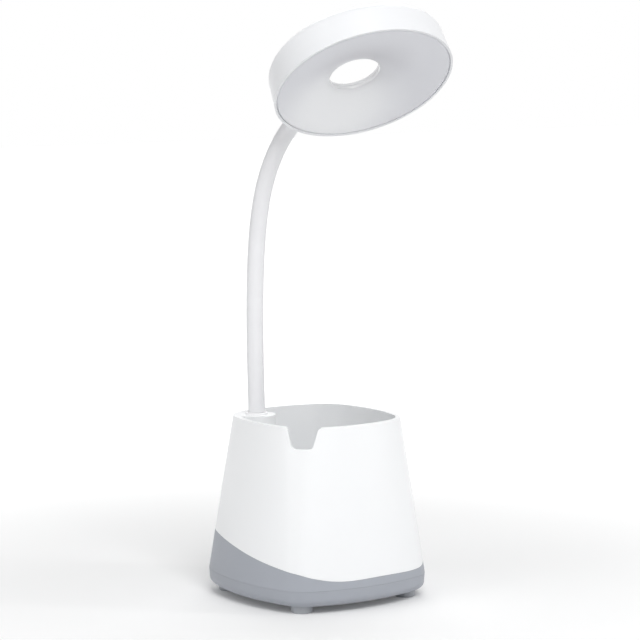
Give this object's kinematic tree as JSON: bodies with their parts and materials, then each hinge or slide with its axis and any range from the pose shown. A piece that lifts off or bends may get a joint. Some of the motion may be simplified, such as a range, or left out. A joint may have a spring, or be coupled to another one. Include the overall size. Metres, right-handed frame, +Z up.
{
  "type": "desk lamp with pen cup base",
  "caption": "Ring-headed gooseneck desk lamp on a tapered, rounded-square pen cup with a notched rim and a grey foot skin.",
  "frame": {"origin": "on the table, under the middle of the rounded-square base", "axes": "+Z up, -Y out of the front face, over which the head hangs, +Y out of the back with the socket and button, +X to the right"},
  "size_m": [0.1159, 0.1548, 0.353],
  "materials": {
    "white_shell": "moulded ABS, soft gloss",
    "white_trim": "moulded ABS, gloss",
    "arm_sleeve": "silicone sleeve, satin",
    "grey_shell": "moulded ABS, satin",
    "grey_button": "moulded ABS, satin",
    "foot_rubber": "matt",
    "milky_diffuser": "opal acrylic, satin",
    "plain_steel": "zinc plated",
    "bright_steel": "nickel plated",
    "black_plastic": "moulded",
    "plug_plastic": "moulded nylon",
    "cell_wrap": "shrink wrap",
    "green_board": "solder mask",
    "light_board": "white mask on aluminium",
    "light_chip": "phosphor in a white frame",
    "lead_cover": "soft vinyl"
  },
  "bodies": {
    "base": {"cup_shell": "white_shell", "base_skin": "grey_shell", "bottom_tray": "grey_shell", "rubber_feet": "foot_rubber", "base_screws": "plain_steel", "ballast_plate": "plain_steel", "battery_cell": "cell_wrap", "battery_cradle": "black_plastic", "main_board": "green_board", "board_parts": "black_plastic", "board_screws": "plain_steel", "lead_plugs": "plug_plastic", "charging_socket": "bright_steel", "tact_switch": "black_plastic", "switch_board": "green_board", "arm_ferrule": "bright_steel", "arm_washer": "bright_steel", "arm_nut": "bright_steel", "arm_collar": "white_trim", "arm_root": "arm_sleeve", "lamp_lead": "lead_cover", "cell_leads": "lead_cover"},
    "button": {"power_button": "grey_button", "switch_plunger": "black_plastic"},
    "arm_1": {"arm_sleeve_1": "arm_sleeve", "arm_core_1": "bright_steel"},
    "arm_2": {"arm_sleeve_2": "arm_sleeve", "arm_core_2": "bright_steel"},
    "arm_3": {"arm_sleeve_3": "arm_sleeve", "arm_core_3": "bright_steel"},
    "arm_4": {"arm_sleeve_4": "arm_sleeve", "arm_core_4": "bright_steel"},
    "arm_5": {"arm_sleeve_5": "arm_sleeve", "arm_core_5": "bright_steel"},
    "arm_6": {"arm_sleeve_6": "arm_sleeve", "arm_core_6": "bright_steel"},
    "arm_7": {"arm_sleeve_7": "arm_sleeve", "arm_core_7": "bright_steel"},
    "head": {"head_neck": "arm_sleeve", "neck_core": "bright_steel", "head_ferrule": "bright_steel", "head_nut": "bright_steel", "head_housing": "white_shell", "diffuser": "milky_diffuser", "hole_liner": "white_trim", "led_board": "light_board", "led_chips": "light_chip", "led_screws": "plain_steel", "head_leads": "lead_cover"}
  },
  "joints": [
    {"name": "button_press", "type": "slide", "parent": "base", "child": "button", "axis": [0, -1, 0], "range_m": [0, 0.001], "stiffness_N_per_m": 1200},
    {"name": "side_bend_1", "type": "hinge", "parent": "base", "child": "arm_1", "pos_m": [-0.02579, 0.02602, 0.11979], "axis": [0.2755, -0.9608, 0.0314], "range_deg": [-18, 18]},
    {"name": "fore_bend_2", "type": "hinge", "parent": "arm_1", "child": "arm_2", "pos_m": [-0.02597, 0.02663, 0.14319], "axis": [0.9613, 0.2756, 0], "range_deg": [-20, 15]},
    {"name": "side_bend_3", "type": "hinge", "parent": "arm_2", "child": "arm_3", "pos_m": [-0.02604, 0.02688, 0.16658], "axis": [0.2756, -0.9613, 0], "range_deg": [-18, 18]},
    {"name": "fore_bend_4", "type": "hinge", "parent": "arm_3", "child": "arm_4", "pos_m": [-0.02593, 0.02651, 0.18998], "axis": [0.9613, 0.2756, 0], "range_deg": [-20, 15]},
    {"name": "side_bend_5", "type": "hinge", "parent": "arm_4", "child": "arm_5", "pos_m": [-0.02553, 0.02512, 0.21333], "axis": [0.2745, -0.9573, -0.0906], "range_deg": [-18, 18]},
    {"name": "fore_bend_6", "type": "hinge", "parent": "arm_5", "child": "arm_6", "pos_m": [-0.02455, 0.0217, 0.23644], "axis": [0.9613, 0.2756, 0], "range_deg": [-20, 15]},
    {"name": "side_bend_7", "type": "hinge", "parent": "arm_6", "child": "arm_7", "pos_m": [-0.02251, 0.01456, 0.25859], "axis": [0.2502, -0.8726, -0.4195], "range_deg": [-18, 18]},
    {"name": "fore_bend_8", "type": "hinge", "parent": "arm_7", "child": "head", "pos_m": [-0.01903, 0.00244, 0.27821], "axis": [0.9613, 0.2756, 0], "range_deg": [-20, 15]}
  ]
}
